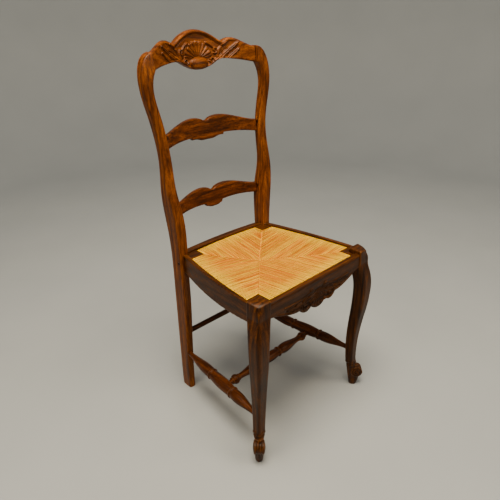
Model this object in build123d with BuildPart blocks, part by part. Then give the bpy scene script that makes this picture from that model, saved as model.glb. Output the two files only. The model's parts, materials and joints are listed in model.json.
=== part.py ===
from build123d import *
import os
from math import sqrt

# A French provincial dining chair in oak with a drop-in rush seat. Millimetres, +Z up, the
# sitter faces -Y. Left and right are those of someone looking at the front of the chair.
# The frame is worked out about a line midway between the front and back feet; at the end every
# piece is moved so that the origin lies on the floor under the middle of the whole chair.

# ---- driving dimensions -------------------------------------------------------------------
LEG_TOP_Z = 464.0  # front legs end a little above the rails
RAIL_TOP_Z = 456.0
SEAT_TOP_Z = 453.0
SEAT_THICK = 24.7
LEDGE_Z = 428.0  # rebate in the rails that the drop-in seat rests on
SEAT_GAP = 0.4  # play between the seat and everything round it
SEAT_BOTTOM_Z = SEAT_TOP_Z - SEAT_THICK

FRONT_LEG_X = 192.0
FRONT_LEG_Y = -163.0
LEG_SIDE = 40.0
FRONT_FOOT_X = 207.0
FRONT_FOOT_Y = -178.0

POST_FOOT_X = 158.0
POST_FOOT_Y = 178.0
CREST_END_X = 167.0
CREST_TOP_Z = 1000.0

RAIL_FACE_Y = -180.0
RAIL_THICK = 25.0
SIDE_RAIL_BOW = 8.0
LIP = 11.0  # width of rail left outside the rebate
RAIL_ROUND = 9.0  # the rails' rounded top edge

BACK_RAKE = 0.14  # how far the back leans for each millimetre it rises
SLAT_THICK = 13.0
CREST_THICK = 19.0

STRETCHER_Z = 129.0
CROSS_STRETCHER_Y = -19.0
CROSS_STRETCHER_Z = 126.0
REAR_STRETCHER_Z = 190.0

RUSH_THICK = 4.0  # rush cord laid over the seat bars
SEAT_BAR_WIDE = 20.0
SIDE_BOW = 7.5  # how far the seat's sides bow out, in line with the rails
REAR_BOW = 8.0  # and its back edge, in line with the rear rail
SEAT_SAG = 24.0  # how far the woven top has sunk in the middle
SAG_REACH = 140.0  # from the middle of the seat to where its top begins to sink
UNDER_SAG = 18.0  # how far the underside hangs below the bars
UNDER_REACH = 125.0
SAG_Y = 8.0  # the lowest point is a little behind the middle
CORNER_X = 156.0  # inner edges of the seat's front corner blocks
CORNER_Y = -126.0
REAR_CORNER_X = 112.0
REAR_CORNER_Y = 124.0
SEAT_FRONT_Y = RAIL_FACE_Y + 15.0
SEAT_REAR_Y = 157.0
POST_FRONT_Y = 149.0  # the seat's back corners stop here, just in front of the posts
POST_INNER_X = 142.0  # and its back edge runs between the posts

PEG_RADIUS = 3.5


def side_x(y):
    """Half-width from the middle of the chair to the outer face of a side rail, unbowed."""
    return 207.0 - 47.0 * (y + 150.0) / 300.0


def side_inner_x(y):
    """Half-width to the inner face of a side rail, which is thicker at the front."""
    return 182.3 - 38.0 * (y + 150.0) / 318.0


def raked(y, z, z_base):
    """Depth of a point on the leaning back, z_base being where its depth is y."""
    return y + BACK_RAKE * (z - z_base)


# ---- rear posts: leg and back upright in one piece ----------------------------------------
POST_INNER = [(148, 0), (147, 200), (145.5, 400), (143.8, 480), (148, 560), (158.5, 640), (156.5, 705),
              (159, 760), (168, 810), (177.5, 850), (180, 874), (176.5, 897), (CREST_END_X, 916)]
POST_OUTER = [(168, 0), (170.5, 200), (172, 400), (173, 480), (178, 560), (185, 640), (182, 705),
              (185, 760), (194, 810), (203, 850), (207, 885), (203.5, 920), (191, 946), (CREST_END_X, 958)]
POST_FRONT = [(157, 0), (156.5, 110), (152, 210), (147.5, 310), (151, 430), (151, 500), (153, 580),
              (161, 640), (172.5, 705), (180.5, 760), (183.5, 830), (188, 890), (199, 958), (206, 1000)]
POST_BACK = [(195, 0), (194.5, 150), (192.5, 330), (192.5, 450), (196.5, 520), (199.5, 580), (196.5, 640),
             (199, 705), (205, 770), (209.5, 840), (217, 900), (226.5, 958), (234, 1000)]
KNUCKLE_Z = 586.0

with BuildPart() as post_blank:
    with BuildSketch(Plane.XZ):
        with BuildLine():
            inner = Spline(*POST_INNER)
            Line(inner @ 1, (CREST_END_X, 958))
            outer = Spline(*POST_OUTER)
            Line(inner @ 0, outer @ 0)
        make_face()
    extrude(amount=-260)
    with BuildSketch(Plane.YZ):
        with BuildLine():
            front = Spline(*POST_FRONT)
            back = Spline(*POST_BACK)
            Line(front @ 0, back @ 0)
            Line(front @ 1, back @ 1)
        make_face()
    extrude(amount=260, mode=Mode.INTERSECT)
    long_edges = post_blank.edges().filter_by(lambda e: e.length > 300)
    fillet(long_edges, 5.0)
    # a carved nick wraps round the outer front arris where the back begins
    with Locations((178, 151, KNUCKLE_Z)):
        Box(1.8, 60, 1.8, rotation=(0, 45, 0), mode=Mode.SUBTRACT)

# ---- front legs: cabriole, square at the top, ending in a scroll foot ---------------------
# height, how far the centre stands out from the foot along the diagonal, side of the square
LEG_SECTIONS = [(424, -21.2, 40), (400, -14, 42.5), (368, -5, 41), (335, -2.7, 39.4), (292, -4.6, 37.4),
                (251, -9.2, 34.2), (210, -13.8, 31.4), (167, -16.7, 28.6), (123, -16.8, 26.2),
                (93, -15, 25.2), (70, -10, 25)]
CORNER_ROUND = 0.22
SCROLL_OUT = 5.0
SCROLL_Z = 49.0
SCROLL_RADIUS = 17.5
SCROLL_LONG = 33.0


def on_diagonal(distance, z):
    """A point at this distance outward from the right foot's centre, along its diagonal."""
    step = distance / sqrt(2)
    return (FRONT_FOOT_X + step, FRONT_FOOT_Y - step, z)


with BuildPart() as leg_blank:
    for height, outward, side in LEG_SECTIONS:
        with BuildSketch(Plane(origin=on_diagonal(outward, height))):
            RectangleRounded(side, side, CORNER_ROUND * side if height < 420 else 3.0)
    loft()
    with BuildSketch(Plane(origin=(FRONT_LEG_X, FRONT_LEG_Y, 424))):
        RectangleRounded(LEG_SIDE, LEG_SIDE, 3.0)
    extrude(amount=LEG_TOP_Z - 424)
    fillet(leg_blank.faces().sort_by(Axis.Z)[-1].edges(), 2.5)
    # the foot: a tapering pad with a rolled scroll across its front
    diagonal = (1, -1, 0)
    for height, outward, along, across in ((0, -2.5, 11.5, 9.5), (16, -2, 15, 12), (36, -2.5, 18, 14.5),
                                           (72, -10, 16.5, 15)):
        with BuildSketch(Plane(origin=on_diagonal(outward, height), x_dir=diagonal)):
            Ellipse(along, across)
    loft()
    with BuildSketch(Plane(origin=on_diagonal(SCROLL_OUT, SCROLL_Z), x_dir=diagonal, z_dir=(1, 1, 0))):
        Circle(SCROLL_RADIUS)
    extrude(amount=SCROLL_LONG / 2, both=True)

# ---- the drop-in seat's outline, shared by the seat and the rebate that holds it ----------


def seat_outline(inset):
    """The seat in plan, moved in all round by this much."""
    front = SEAT_FRONT_Y + inset
    rear = SEAT_REAR_Y - inset
    shoulder = POST_FRONT_Y - inset
    front_x = side_x(front) - LIP - inset
    shoulder_x = side_x(shoulder) - LIP - inset
    rear_x = POST_INNER_X - inset
    side_middle = ((front_x + shoulder_x) / 2 + SIDE_BOW, (front + shoulder) / 2)
    with BuildSketch() as outline:
        with BuildLine():
            Line((0, front), (front_x, front))
            ThreePointArc((front_x, front), side_middle, (shoulder_x, shoulder))
            Polyline((shoulder_x, shoulder), (rear_x, shoulder), (rear_x, rear))
            mirror(about=Plane.YZ)
            ThreePointArc((rear_x, rear), (0, rear + REAR_BOW), (-rear_x, rear))
        make_face()
    return outline.sketch


def seat_plate(inset, low, high):
    """The seat's outline, moved in all round, between two heights."""
    return extrude(Pos(0, 0, low) * seat_outline(inset), amount=high - low)


seat_recess = seat_plate(-SEAT_GAP, LEDGE_Z, LEDGE_Z + 60)

# ---- stretchers -----------------------------------------------------------------------------
LEG_AT_STRETCHER = Vector(195.0, -166.0, STRETCHER_Z)
POST_AT_STRETCHER = Vector(158.8, 178.0, STRETCHER_Z)
SIDE_LONG = (POST_AT_STRETCHER - LEG_AT_STRETCHER).length
SIDE_DIRECTION = (POST_AT_STRETCHER - LEG_AT_STRETCHER).normalized()
RING_FRONT = 111.0  # rings either side of the barrel, measured from the front leg
RING_REAR = 206.0

with BuildPart() as right_stretcher:
    with BuildSketch(Plane(origin=LEG_AT_STRETCHER, x_dir=SIDE_DIRECTION, z_dir=(0, 0, 1))):
        with BuildLine():
            Line((0, 0), (0, 7))
            Line((0, 7), (14, 7))
            Spline((14, 7), (50, 10.5), (92, 15.5), (RING_FRONT - 4, 14))
            ThreePointArc((RING_FRONT - 4, 14), (RING_FRONT, 17), (RING_FRONT + 4, 14))
            ThreePointArc((RING_FRONT + 4, 14), ((RING_FRONT + RING_REAR) / 2, 17), (RING_REAR - 4, 14))
            ThreePointArc((RING_REAR - 4, 14), (RING_REAR, 17), (RING_REAR + 4, 14))
            Spline((RING_REAR + 4, 14), (RING_REAR + 26, 15.5), (290, 9.5), (SIDE_LONG - 12, 7))
            Line((SIDE_LONG - 12, 7), (SIDE_LONG, 7))
            Line((SIDE_LONG, 7), (SIDE_LONG, 0))
            Line((SIDE_LONG, 0), (0, 0))
        make_face()
    revolve(axis=Axis(LEG_AT_STRETCHER, SIDE_DIRECTION))

CROSS_PART = (CROSS_STRETCHER_Y - LEG_AT_STRETCHER.Y) / (POST_AT_STRETCHER.Y - LEG_AT_STRETCHER.Y)
CROSS_END_X = LEG_AT_STRETCHER.X + CROSS_PART * (POST_AT_STRETCHER.X - LEG_AT_STRETCHER.X)
CROSS_LONG = 2 * (CROSS_END_X - 4)
CROSS_ORIGIN = Vector(-CROSS_LONG / 2, CROSS_STRETCHER_Y, CROSS_STRETCHER_Z)
BARREL_HALF = 32.0
MIDDLE = CROSS_LONG / 2
RING_MIDDLE = MIDDLE - BARREL_HALF

with BuildPart() as cross_stretcher:
    # half of the turning, drawn from the end to the middle and mirrored
    with BuildSketch(Plane(origin=CROSS_ORIGIN, x_dir=(1, 0, 0), z_dir=(0, -1, 0))):
        with BuildLine():
            Line((0, 0), (0, 7))
            Line((0, 7), (22, 7))
            ThreePointArc((22, 7), (24.5, 10), (27, 8.5))
            ThreePointArc((27, 8.5), (36, 14), (45, 8.5))
            ThreePointArc((45, 8.5), (47.5, 10), (50, 8.5))
            Spline((50, 8.5), (84, 11.5), (RING_MIDDLE - 22, 15), (RING_MIDDLE - 4, 10))
            ThreePointArc((RING_MIDDLE - 4, 10), (RING_MIDDLE, 15.5), (RING_MIDDLE + 4, 12))
            Spline((RING_MIDDLE + 4, 12), (MIDDLE, 15), tangents=((1, 0.2), (1, 0)))
            Line((MIDDLE, 15), (MIDDLE, 0))
            Line((MIDDLE, 0), (0, 0))
        make_face()
    revolve(axis=Axis(CROSS_ORIGIN, (1, 0, 0)))
    mirror(about=Plane.YZ)

with BuildPart() as rear_stretcher:
    with BuildSketch(Plane(origin=(0, POST_FOOT_Y, REAR_STRETCHER_Z), x_dir=(0, 1, 0), z_dir=(1, 0, 0))):
        Circle(8.0)
    extrude(amount=158, both=True)

# ---- seat rails -----------------------------------------------------------------------------
APRON = [(173, 416), (143, 408.5), (108, 396), (68, 390)]  # ogee from the leg to the first cusp

with BuildPart() as front_rail:
    with BuildSketch(Plane.XZ.offset(-RAIL_FACE_Y)):
        with BuildLine():
            Line((0, RAIL_TOP_Z), (178, RAIL_TOP_Z))
            Line((178, RAIL_TOP_Z), (178, 416))
            Line((178, 416), (173, 416))
            Spline(*APRON)
            ThreePointArc((68, 390), (46, 376.5), (27, 386))
            ThreePointArc((27, 386), (15, 375), (0, 372))
            Line((0, 372), (0, RAIL_TOP_Z))
        make_face()
        mirror(about=Plane.YZ)
    extrude(amount=-RAIL_THICK)
    top_front = front_rail.edges().filter_by(Axis.X).group_by(Axis.Z)[-1].sort_by(Axis.Y)[0]
    fillet(top_front, RAIL_ROUND)
    # a rounded bead borders the shaped lower edge
    with BuildSketch(Plane.XZ.offset(-RAIL_FACE_Y)):
        with BuildLine():
            bead_low = Spline((150, 410.5), (108, 396), (68, 390))
            bead_high = Spline((150, 416), (108, 402), (71, 396))
            Line(bead_low @ 0, bead_high @ 0)
            Line(bead_low @ 1, bead_high @ 1)
        make_face()
        mirror(about=Plane.YZ)
    extrude(amount=2.0)

with BuildPart() as right_rail:
    with BuildSketch(Plane.XY.offset(390)):
        with BuildLine():
            ThreePointArc((side_x(-156), -156), (side_x(0) + SIDE_RAIL_BOW, 0), (side_x(168), 168))
            Line((side_x(168), 168), (side_inner_x(168), 168))
            Line((side_inner_x(168), 168), (side_inner_x(-156), -156))
            Line((side_inner_x(-156), -156), (side_x(-156), -156))
        make_face()
    extrude(amount=RAIL_TOP_Z - 390)
    # its lower edge sags to a shallow belly between the legs
    with BuildSketch(Plane.YZ):
        with BuildLine():
            ThreePointArc((-157, 408), (10, 396), (169, 409))
            Polyline((169, 409), (169, RAIL_TOP_Z), (-157, RAIL_TOP_Z), (-157, 408))
        make_face()
    extrude(amount=230, mode=Mode.INTERSECT)
    top_outer = right_rail.faces().sort_by(Axis.Z)[-1].edges().sort_by(Axis.X)[-1]
    fillet(top_outer, RAIL_ROUND)
    bottom_outer = right_rail.faces().sort_by(Axis.Z)[0].edges().sort_by(Axis.X)[-1]
    fillet(bottom_outer, 3.0)

with BuildPart() as rear_rail:
    with BuildSketch(Plane.XY.offset(406)):
        with BuildLine():
            ThreePointArc((-160, 178), (0, 188), (160, 178))
            Line((-160, 178), (-160, SEAT_REAR_Y - 1))
            ThreePointArc((-160, SEAT_REAR_Y - 1), (0, SEAT_REAR_Y + REAR_BOW + 0.5), (160, SEAT_REAR_Y - 1))
            Line((160, SEAT_REAR_Y - 1), (160, 178))
        make_face()
    extrude(amount=RAIL_TOP_Z - 406)
    fillet(rear_rail.edges().group_by(Axis.Z)[-1].sort_by(Axis.Y)[-1], 5.0)

# ---- the back: crest rail and two slats, bowed in plan and raked --------------------------


def bowed_board(end_y, bow, half, thick, z_low, z_high):
    """A raked board whose front bows back by this much at the middle."""
    board_rise = z_high - z_low
    with BuildPart() as board:
        with BuildSketch(Plane.XY.offset(z_low)):
            with BuildLine():
                ThreePointArc((-half, end_y), (0, end_y + bow), (half, end_y))
                ThreePointArc((-half, end_y + thick), (0, end_y + bow + thick), (half, end_y + thick))
                Line((-half, end_y), (-half, end_y + thick))
                Line((half, end_y), (half, end_y + thick))
            make_face()
        extrude(amount=board_rise * sqrt(1 + BACK_RAKE**2), dir=(0, BACK_RAKE, 1))
    return board.part


CREST_BOW = 46.0
crest_board = bowed_board(raked(199, 895, 930), CREST_BOW, 174, CREST_THICK, 895, 1010)

with BuildPart() as crest_rail:
    with BuildSketch(Plane.XZ):
        with BuildLine():
            Spline((0, CREST_TOP_Z), (30, 995), (58, 982.5), (80, 970), tangents=((1, 0), (1, -0.4)))
            Spline((80, 970), (88, 974.5), (104, 978.5), (130, 971.5), (174, 954.5))
            Line((174, 954.5), (174, 913.5))
            Spline((174, 913.5), (140, 921), (100, 926.5), (62, 925), (48, 918), (34, 912))
            ThreePointArc((34, 912), (18, 906.5), (0, 905))
            Line((0, 905), (0, CREST_TOP_Z))
        make_face()
        mirror(about=Plane.YZ)
    extrude(amount=-300)
    add(crest_board, mode=Mode.INTERSECT)
    crest_arrises = crest_rail.edges().filter_by(lambda e: e.length > 60)
    fillet(crest_arrises, 3.0)
    # carved centre: an oval boss with a shell of ribs fanning out above it
    with BuildSketch(Plane.XZ.offset(-237)):
        with Locations((0, 922)):
            Ellipse(27, 14)
    extrude(amount=-25)
    with Locations(Plane(origin=(0, 243, 930), x_dir=(1, 0, 0), z_dir=(0, -1, BACK_RAKE))):
        with PolarLocations(radius=30, count=9, start_angle=10, angular_range=160):
            Cylinder(3.0, 28, rotation=(0, 90, 0))

upper_board = bowed_board(raked(189, 715, 750), 36, 166, SLAT_THICK, 715, 800)
with BuildPart() as upper_slat:
    with BuildSketch(Plane.XZ):
        with BuildLine():
            ThreePointArc((0, 777), (7, 778.5), (12, 782))
            Spline((12, 782), (36, 787), (95, 779), (166, 762))
            Line((166, 762), (166, 729))
            Spline((166, 729), (105, 737.5), (56, 739))
            Line((56, 739), (54, 733.5))
            Spline((54, 733.5), (36, 732.5), (24, 729), (0, 728), tangents=((-1, 0), (-1, 0)))
            Line((0, 728), (0, 777))
        make_face()
        mirror(about=Plane.YZ)
    extrude(amount=-300)
    add(upper_board, mode=Mode.INTERSECT)
    chamfer(upper_slat.edges().filter_by(lambda e: e.length > 50), 3.0)

lower_board = bowed_board(raked(180, 525, 565), 28, 155, SLAT_THICK, 525, 615)
with BuildPart() as lower_slat:
    with BuildSketch(Plane.XZ):
        with BuildLine():
            ThreePointArc((0, 587), (6, 589), (11, 593))
            Spline((11, 593), (34, 598.5), (92, 592), (155, 579))
            Line((155, 579), (155, 550))
            Spline((155, 550), (85, 555), (31, 552))
            Line((31, 552), (28, 545))
            Spline((28, 545), (18, 542), (0, 540), tangents=((-1, 0), (-1, 0)))
            Line((0, 540), (0, 587))
        make_face()
        mirror(about=Plane.YZ)
    extrude(amount=-300)
    add(lower_board, mode=Mode.INTERSECT)
    chamfer(lower_slat.edges().filter_by(lambda e: e.length > 50), 3.0)


# ---- joints: every rail, slat and stretcher ends in a tenon glued into a mortise ------------
post_right = post_blank.part
post_left = mirror(post_right, about=Plane.YZ)
leg_right = leg_blank.part
leg_left = mirror(leg_right, about=Plane.YZ)

# centre and size of each tenon on the right-hand side
CREST_TENON = ((174, 209.5, 935), (30, 8, 26))
UPPER_SLAT_TENON = ((163, 195.5, 748), (26, 8, 24))
LOWER_SLAT_TENON = ((156, 186.5, 566), (24, 8, 20))
REAR_RAIL_TENON = ((150, 175.5, 431), (24, 9, 34))
FRONT_RAIL_TENON = ((184, -168.5, 436), (30, 9, 30))
SIDE_TENON_FRONT = ((195, -150, 430), (9, 18, 36))
SIDE_TENON_REAR = ((152.5, 158, 430), (8, 22, 36))

# centre, direction and length of the oak peg that locks each joint; the post or leg trims it flush
PEGS = [((183, 215, 941), Axis.Y, 24), ((169, 203, 750), Axis.Y, 24), ((161, 194, 566), Axis.Y, 26),
        ((154, 181, 431), Axis.Y, 26), ((178.5, -155, 437), Axis.Y, 36), ((187, -150, 421), Axis.X, 34),
        ((162, 160, 431), Axis.X, 28)]


def tenon(place):
    """A rectangular tenon at its place on the right-hand side."""
    centre, size = place
    return Pos(*centre) * Box(*size)


def both_sides(solid):
    """A right-hand solid with its mirror image on the left."""
    return [solid, mirror(solid, about=Plane.YZ)]


with BuildPart() as right_pegs:
    for centre, direction, length in PEGS:
        turn = (90, 0, 0) if direction == Axis.Y else (0, 90, 0)
        with Locations(centre):
            Cylinder(PEG_RADIUS, length, rotation=turn)
    add([post_right, leg_right], mode=Mode.INTERSECT)
pegs = right_pegs.part
all_pegs = both_sides(pegs)

crest_tenon = tenon(CREST_TENON)
upper_tenon = tenon(UPPER_SLAT_TENON)
lower_tenon = tenon(LOWER_SLAT_TENON)
rear_rail_tenon = tenon(REAR_RAIL_TENON)
front_rail_tenon = tenon(FRONT_RAIL_TENON)
side_tenons = [tenon(SIDE_TENON_FRONT), tenon(SIDE_TENON_REAR)]

with BuildPart() as rear_post_right:
    add(post_right)
    add([crest_tenon, upper_tenon, lower_tenon, rear_rail_tenon, *side_tenons], mode=Mode.SUBTRACT)
    add([pegs, right_stretcher.part, rear_stretcher.part], mode=Mode.SUBTRACT)

with BuildPart() as front_leg_right:
    add(leg_right)
    add([front_rail_tenon, *side_tenons, pegs, right_stretcher.part], mode=Mode.SUBTRACT)


def join(builder, uprights, tenons):
    """Scribe a rail to its uprights, give it its tenons and bore it for the pegs."""
    with builder:
        add(uprights, mode=Mode.SUBTRACT)
        add(tenons)
        add(all_pegs, mode=Mode.SUBTRACT)


join(crest_rail, [post_right, post_left], both_sides(crest_tenon))
join(upper_slat, [post_right, post_left], both_sides(upper_tenon))
join(lower_slat, [post_right, post_left], both_sides(lower_tenon))
join(rear_rail, [post_right, post_left], both_sides(rear_rail_tenon))
join(front_rail, [leg_right, leg_left], both_sides(front_rail_tenon))
join(right_rail, [leg_right, post_right, rear_rail.part], side_tenons)
with front_rail:
    add(seat_recess, mode=Mode.SUBTRACT)
with right_rail:
    add(seat_recess, mode=Mode.SUBTRACT)
with right_stretcher:
    add(cross_stretcher.part, mode=Mode.SUBTRACT)

# ---- glued and screwed blocks inside the corners of the rails ---------------------------------
BLOCK_LOW_Z = 404.0
SCREW_LONG = 30.0
# the middle of each screw's head and the way it drives
SCREWS = [((150, -143, 420), (0, -1, 0)), ((166, -120, 412), (1, 0, 0)),
          ((120, 144, 420), (0, 1, 0)), ((130, 125, 412), (1, 0, 0))]


with BuildPart() as right_screws:
    for head, drive in SCREWS:
        with Locations(Plane(origin=head, z_dir=drive)):
            Cylinder(2.0, SCREW_LONG, align=(Align.CENTER, Align.CENTER, Align.MIN))
            Cone(4.0, 2.0, 3.0, align=(Align.CENTER, Align.CENTER, Align.MIN))

with BuildPart() as head_wells:
    for head, drive in SCREWS:
        with Locations(Plane(origin=head, z_dir=drive)):
            Cylinder(4.5, 60, align=(Align.CENTER, Align.CENTER, Align.MAX))

with BuildPart() as front_block:
    with BuildSketch(Plane.XY.offset(BLOCK_LOW_Z)):
        with BuildLine():
            Polyline((188, -155), (130, -155), (172, -95), (181, -95), close=True)
        make_face()
    extrude(amount=LEDGE_Z - BLOCK_LOW_Z)
    add([leg_right, right_rail.part, right_screws.part, head_wells.part], mode=Mode.SUBTRACT)

with BuildPart() as rear_block:
    with BuildSketch(Plane.XY.offset(BLOCK_LOW_Z)):
        with BuildLine():
            Polyline((150, 168), (85, 168), (145, 98), (156, 98), close=True)
        make_face()
    extrude(amount=LEDGE_Z - BLOCK_LOW_Z)
    add([post_right, right_rail.part, rear_rail.part, right_screws.part, head_wells.part], mode=Mode.SUBTRACT)

all_screws = both_sides(right_screws.part)
for rail in (front_rail, rear_rail, right_rail):
    with rail:
        add(all_screws, mode=Mode.SUBTRACT)

# ---- the drop-in seat: four bars in four corner blocks, packed and covered with rush ---------
BAR_LOW_Z = SEAT_BOTTOM_Z + RUSH_THICK
BAR_HIGH_Z = SEAT_TOP_Z - RUSH_THICK
BAR_TENON = 10.0
BAR_MIDDLE_Z = (BAR_LOW_Z + BAR_HIGH_Z) / 2


def corner_cuts(grow):
    """Boxes over the four corners of the seat, grown toward its middle."""
    cuts = []
    for x, y, outward in ((CORNER_X, CORNER_Y, -1), (REAR_CORNER_X, REAR_CORNER_Y, 1)):
        cut = Pos(x - grow + 40, y + outward * (40 - grow), SEAT_TOP_Z) * Box(80, 80, 80)
        cuts += both_sides(cut)
    return cuts


def sagging(rim_z, sag, reach, grow):
    """A ball that a woven face follows, crossing the rim's height at this reach from the middle."""
    radius = (reach**2 + sag**2) / (2 * sag)
    return Pos(0, SAG_Y, rim_z - sag + radius) * Sphere(radius + grow)


inside_bars = seat_plate(RUSH_THICK + SEAT_BAR_WIDE, BAR_LOW_Z, BAR_HIGH_Z)
ring = seat_plate(RUSH_THICK, BAR_LOW_Z, BAR_HIGH_Z) - inside_bars
FRONT_TENON_Y = SEAT_FRONT_Y + RUSH_THICK + SEAT_BAR_WIDE / 2
REAR_TENON_Y = SEAT_REAR_Y - RUSH_THICK - SEAT_BAR_WIDE / 2


def cross_bar(half, outer_y, inner_y, tenon_y):
    """The front or rear bar: its length of the ring, with a tenon at each end."""
    with BuildPart() as solid:
        add(ring)
        with Locations((0, (outer_y + inner_y) / 2, BAR_MIDDLE_Z)):
            Box(2 * half, abs(outer_y - inner_y), 60, mode=Mode.INTERSECT)
        with Locations((half, tenon_y, BAR_MIDDLE_Z), (-half, tenon_y, BAR_MIDDLE_Z)):
            Box(2 * BAR_TENON, 12, 8)
    return solid.part


seat_front_bar = cross_bar(CORNER_X, -200, CORNER_Y, FRONT_TENON_Y)
seat_rear_bar = cross_bar(REAR_CORNER_X, 200, REAR_CORNER_Y, REAR_TENON_Y)

with BuildPart() as seat_right_bar:
    add(ring)
    with Locations((100, (CORNER_Y + REAR_CORNER_Y) / 2, BAR_MIDDLE_Z)):
        Box(200, REAR_CORNER_Y - CORNER_Y, 60, mode=Mode.INTERSECT)
    for tenon_y in (CORNER_Y, REAR_CORNER_Y):
        with Locations((side_x(tenon_y) - LIP - RUSH_THICK - SEAT_BAR_WIDE / 2, tenon_y, BAR_MIDDLE_Z)):
            Box(12, 2 * BAR_TENON, 8)
seat_left_bar = mirror(seat_right_bar.part, about=Plane.YZ)
seat_bars = [seat_front_bar, seat_rear_bar, seat_right_bar.part, seat_left_bar]

with BuildPart() as seat_corner_front:
    add(seat_plate(0, SEAT_BOTTOM_Z, SEAT_TOP_Z - 0.8))
    with Locations((CORNER_X, CORNER_Y, SEAT_TOP_Z)):
        Box(80, 80, 80, align=(Align.MIN, Align.MAX, Align.CENTER), mode=Mode.INTERSECT)
    with Locations((FRONT_LEG_X, FRONT_LEG_Y, SEAT_TOP_Z)):
        notch = LEG_SIDE + 2 * SEAT_GAP
        Box(notch, notch, 80, mode=Mode.SUBTRACT)
    add(seat_bars, mode=Mode.SUBTRACT)

with BuildPart() as seat_corner_rear:
    add(seat_plate(0, SEAT_BOTTOM_Z, SEAT_TOP_Z - 0.8))
    with Locations((REAR_CORNER_X, REAR_CORNER_Y, SEAT_TOP_Z)):
        Box(80, 80, 80, align=(Align.MIN, Align.MIN, Align.CENTER), mode=Mode.INTERSECT)
    add(seat_bars, mode=Mode.SUBTRACT)

packing_cuts = corner_cuts(RUSH_THICK)
weave_cuts = corner_cuts(0)

inner = RUSH_THICK + SEAT_BAR_WIDE
packing_belly = sagging(SEAT_BOTTOM_Z, UNDER_SAG, UNDER_REACH, -RUSH_THICK)
packing_low = seat_plate(inner, SEAT_BOTTOM_Z - 40, BAR_LOW_Z + 0.5) & packing_belly
packing_dish = sagging(SEAT_TOP_Z, SEAT_SAG, SAG_REACH, RUSH_THICK)
weave_low = seat_plate(inner, SEAT_BOTTOM_Z - 40, SEAT_BOTTOM_Z + 0.5)
weave_belly = weave_low & sagging(SEAT_BOTTOM_Z, UNDER_SAG, UNDER_REACH, 0)
weave_dish = sagging(SEAT_TOP_Z, SEAT_SAG, SAG_REACH, 0)

with BuildPart() as rush_packing:
    add(seat_plate(inner, BAR_LOW_Z, BAR_HIGH_Z))
    add(packing_low)
    add([packing_dish, *packing_cuts, *seat_bars], mode=Mode.SUBTRACT)

with BuildPart() as rush_weave:
    add(seat_plate(0, SEAT_BOTTOM_Z, SEAT_TOP_Z))
    add(weave_cuts, mode=Mode.SUBTRACT)
    fillet(rush_weave.edges().filter_by(lambda e: e.length > 190), 4.0)
    add(weave_belly)
    add([weave_dish, *seat_bars, rush_packing.part], mode=Mode.SUBTRACT)

# ---- every piece by name, moved so the origin is under the middle, and saved ------------------
pieces = {
    "crest_rail": crest_rail.part,
    "upper_slat": upper_slat.part,
    "lower_slat": lower_slat.part,
    "front_rail": front_rail.part,
    "rear_rail": rear_rail.part,
    "cross_stretcher": cross_stretcher.part,
    "rear_stretcher": rear_stretcher.part,
    "seat_front_bar": seat_front_bar,
    "seat_rear_bar": seat_rear_bar,
    "rush_packing": rush_packing.part,
    "rush_weave": rush_weave.part,
}
pairs = {
    "rear_post": rear_post_right.part,
    "front_leg": front_leg_right.part,
    "side_rail": right_rail.part,
    "side_stretcher": right_stretcher.part,
    "front_corner_block": front_block.part,
    "rear_corner_block": rear_block.part,
    "seat_side_bar": seat_right_bar.part,
    "seat_front_corner": seat_corner_front.part,
    "seat_rear_corner": seat_corner_rear.part,
}
for name, right_solid in pairs.items():
    pieces["right_" + name] = right_solid
    pieces["left_" + name] = mirror(right_solid, about=Plane.YZ)
with BuildPart() as joint_pegs:
    add(all_pegs)
with BuildPart() as corner_block_screws:
    add(all_screws)
pieces["joint_pegs"] = joint_pegs.part
pieces["corner_block_screws"] = corner_block_screws.part

boxes = [solid.bounding_box() for solid in pieces.values()]
middle_y = (min(box.min.Y for box in boxes) + max(box.max.Y for box in boxes)) / 2
os.makedirs("parts", exist_ok=True)
for name, solid in pieces.items():
    piece = Pos(0, -middle_y, 0) * solid
    piece.label = name
    export_step(piece, f"parts/{name}.step")
print(f"{len(pieces)} pieces; every piece moved {-middle_y:.2f} mm along Y")
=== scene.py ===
"""The looks of a carved oak ladder-back dining chair with a drop-in rush seat, laid out as an add-on."""

import json
import math
import random

import bpy
import numpy as np
from mathutils import Matrix, Vector
from mathutils.bvhtree import BVHTree


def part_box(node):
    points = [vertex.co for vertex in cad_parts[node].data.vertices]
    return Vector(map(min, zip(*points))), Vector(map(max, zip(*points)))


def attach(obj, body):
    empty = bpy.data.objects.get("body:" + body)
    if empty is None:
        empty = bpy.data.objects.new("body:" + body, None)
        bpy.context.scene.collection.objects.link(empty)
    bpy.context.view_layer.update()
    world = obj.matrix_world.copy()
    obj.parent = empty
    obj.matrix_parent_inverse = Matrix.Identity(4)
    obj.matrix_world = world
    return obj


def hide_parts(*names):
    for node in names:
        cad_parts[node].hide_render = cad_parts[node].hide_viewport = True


bl_info = {
    "name": "Provincial dining chair",
    "version": (1, 0, 0),
    "blender": (4, 5, 0),
    "location": "3D View > Sidebar > Chair",
    "description": "Builds the looks of a carved oak ladder-back chair with a rush seat",
    "category": "Object",
}

MM = 0.001
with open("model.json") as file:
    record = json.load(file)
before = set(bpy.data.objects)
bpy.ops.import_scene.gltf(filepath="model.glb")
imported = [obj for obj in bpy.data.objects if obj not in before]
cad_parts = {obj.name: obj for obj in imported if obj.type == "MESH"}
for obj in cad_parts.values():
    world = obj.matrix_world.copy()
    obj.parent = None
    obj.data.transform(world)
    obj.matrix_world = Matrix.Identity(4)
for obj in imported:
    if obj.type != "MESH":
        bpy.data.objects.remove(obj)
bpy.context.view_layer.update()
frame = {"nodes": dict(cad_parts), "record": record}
BODY_OF = {node: body for body, nodes in frame["record"]["behaviour"]["bodies"].items() for node in nodes}
BACK_RAKE = 0.14  # how far the back leans for each metre it rises
SIDES = ("left", "right")


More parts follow.
